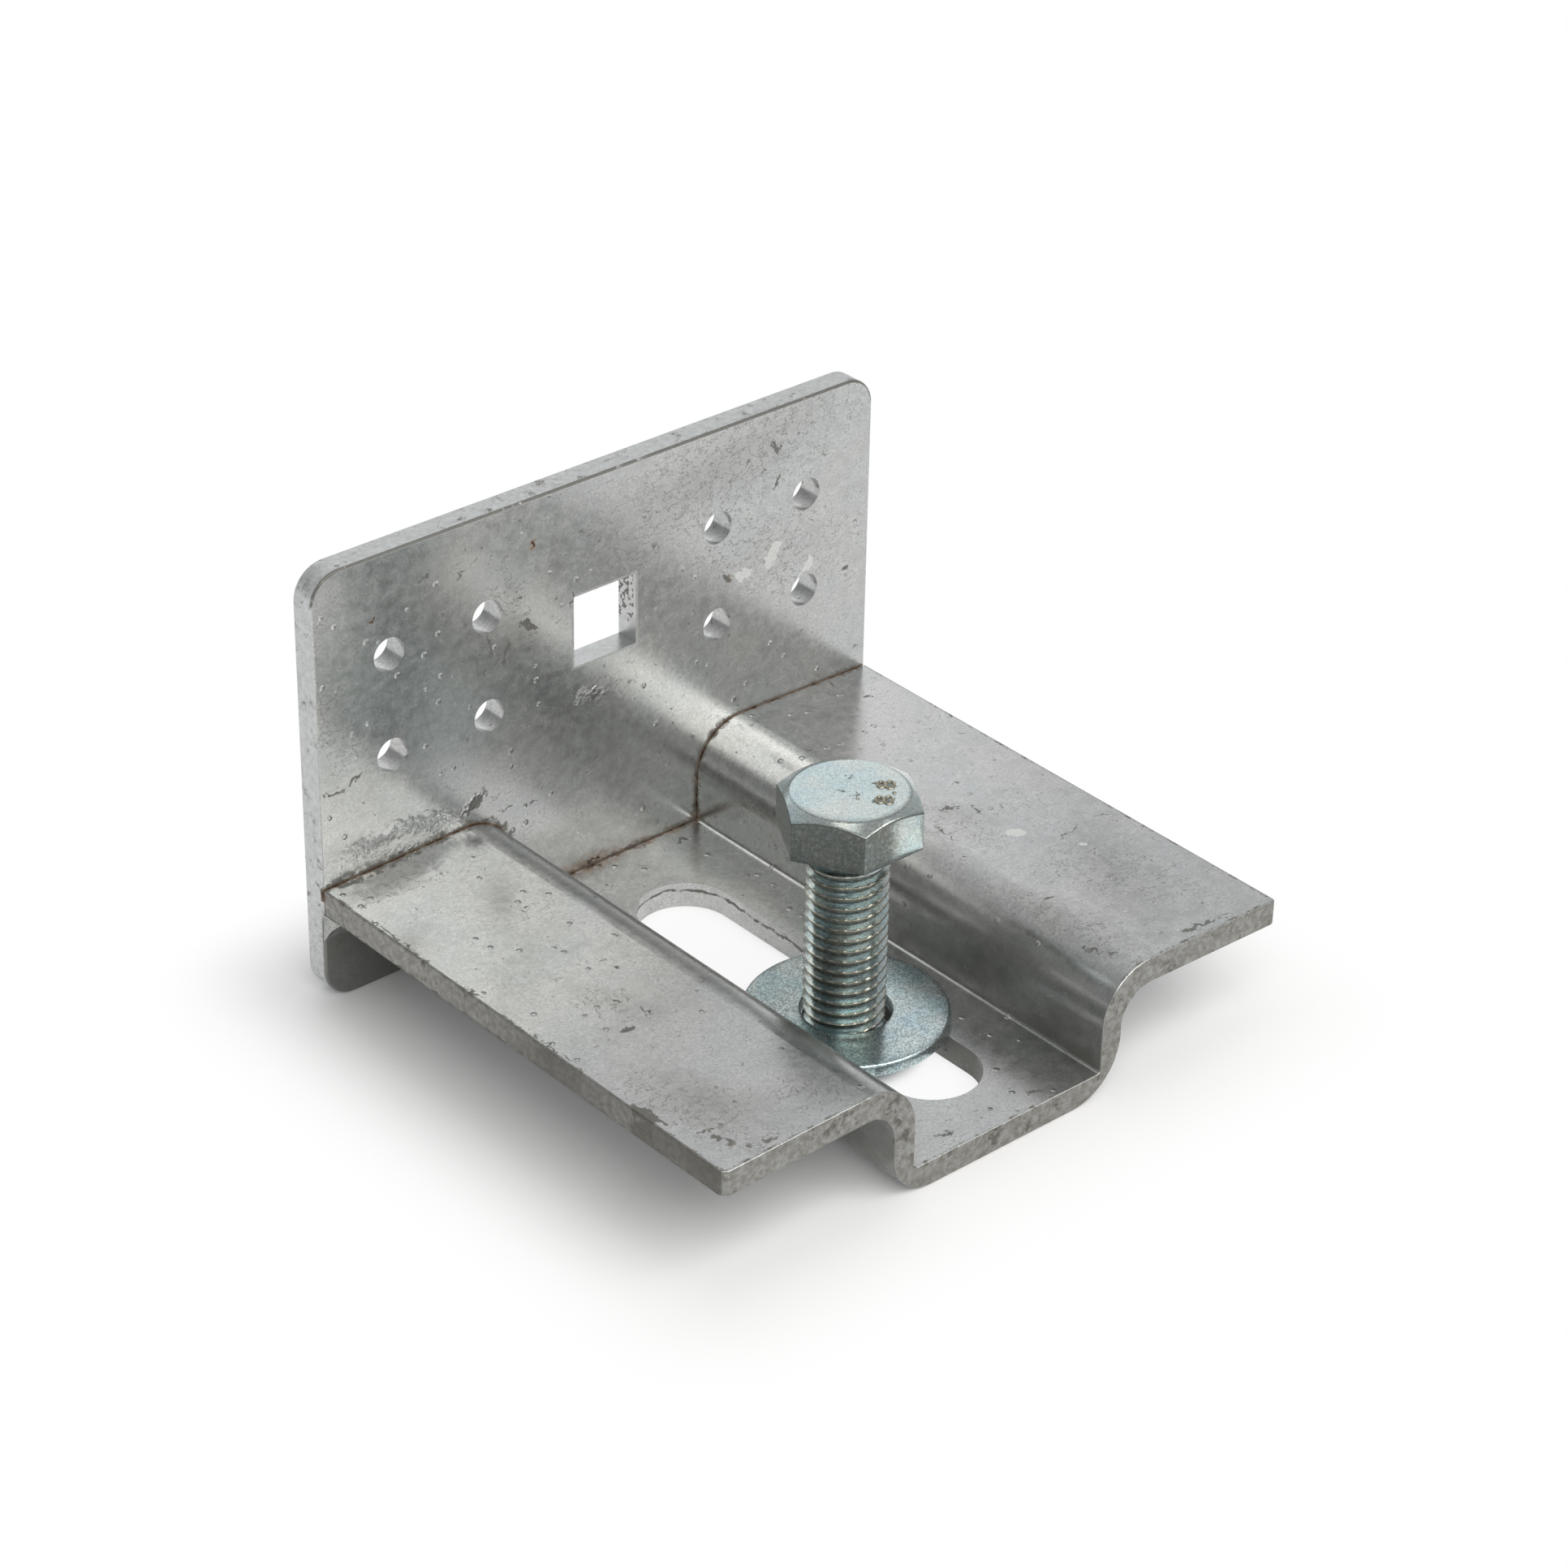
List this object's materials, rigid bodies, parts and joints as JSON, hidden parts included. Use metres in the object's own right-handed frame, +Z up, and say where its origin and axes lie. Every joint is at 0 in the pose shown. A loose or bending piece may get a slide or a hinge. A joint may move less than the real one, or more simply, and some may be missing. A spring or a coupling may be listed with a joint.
{
  "type": "angle bracket",
  "caption": "Galvanised steel angle bracket: an upright nailing plate welded to a folded hat-section channel with a long slot, with a loose hex bolt and flat washer standing in the slot.",
  "frame": {"origin": "middle of the upright plate's back (mounting) face, at its lower edge", "axes": "+X along the width of the plate, +Y out of the plate's back face, towards what it is nailed to, +Z up; the channel reaches out towards -Y"},
  "size_m": [0.1036, 0.0922, 0.0693],
  "materials": {
    "galvanised_plate": "hot-dip galvanised, dulled, mottled, with dark smudges and rust at the seam",
    "galvanised_channel": "hot-dip galvanised, dulled and scratched, with brownish cut edges",
    "galvanised_weld": "rippled weld bead under hot-dip zinc",
    "zinc_washer": "blue-passivated zinc plating, fine speckle",
    "zinc_bolt": "blue-passivated zinc plating, a little grimy"
  },
  "bodies": {
    "root": {"back_plate": "galvanised_plate", "hat_channel": "galvanised_channel", "left_weld": "galvanised_weld", "right_weld": "galvanised_weld", "flat_washer": "zinc_washer", "hex_bolt": "zinc_bolt"}
  },
  "joints": []
}
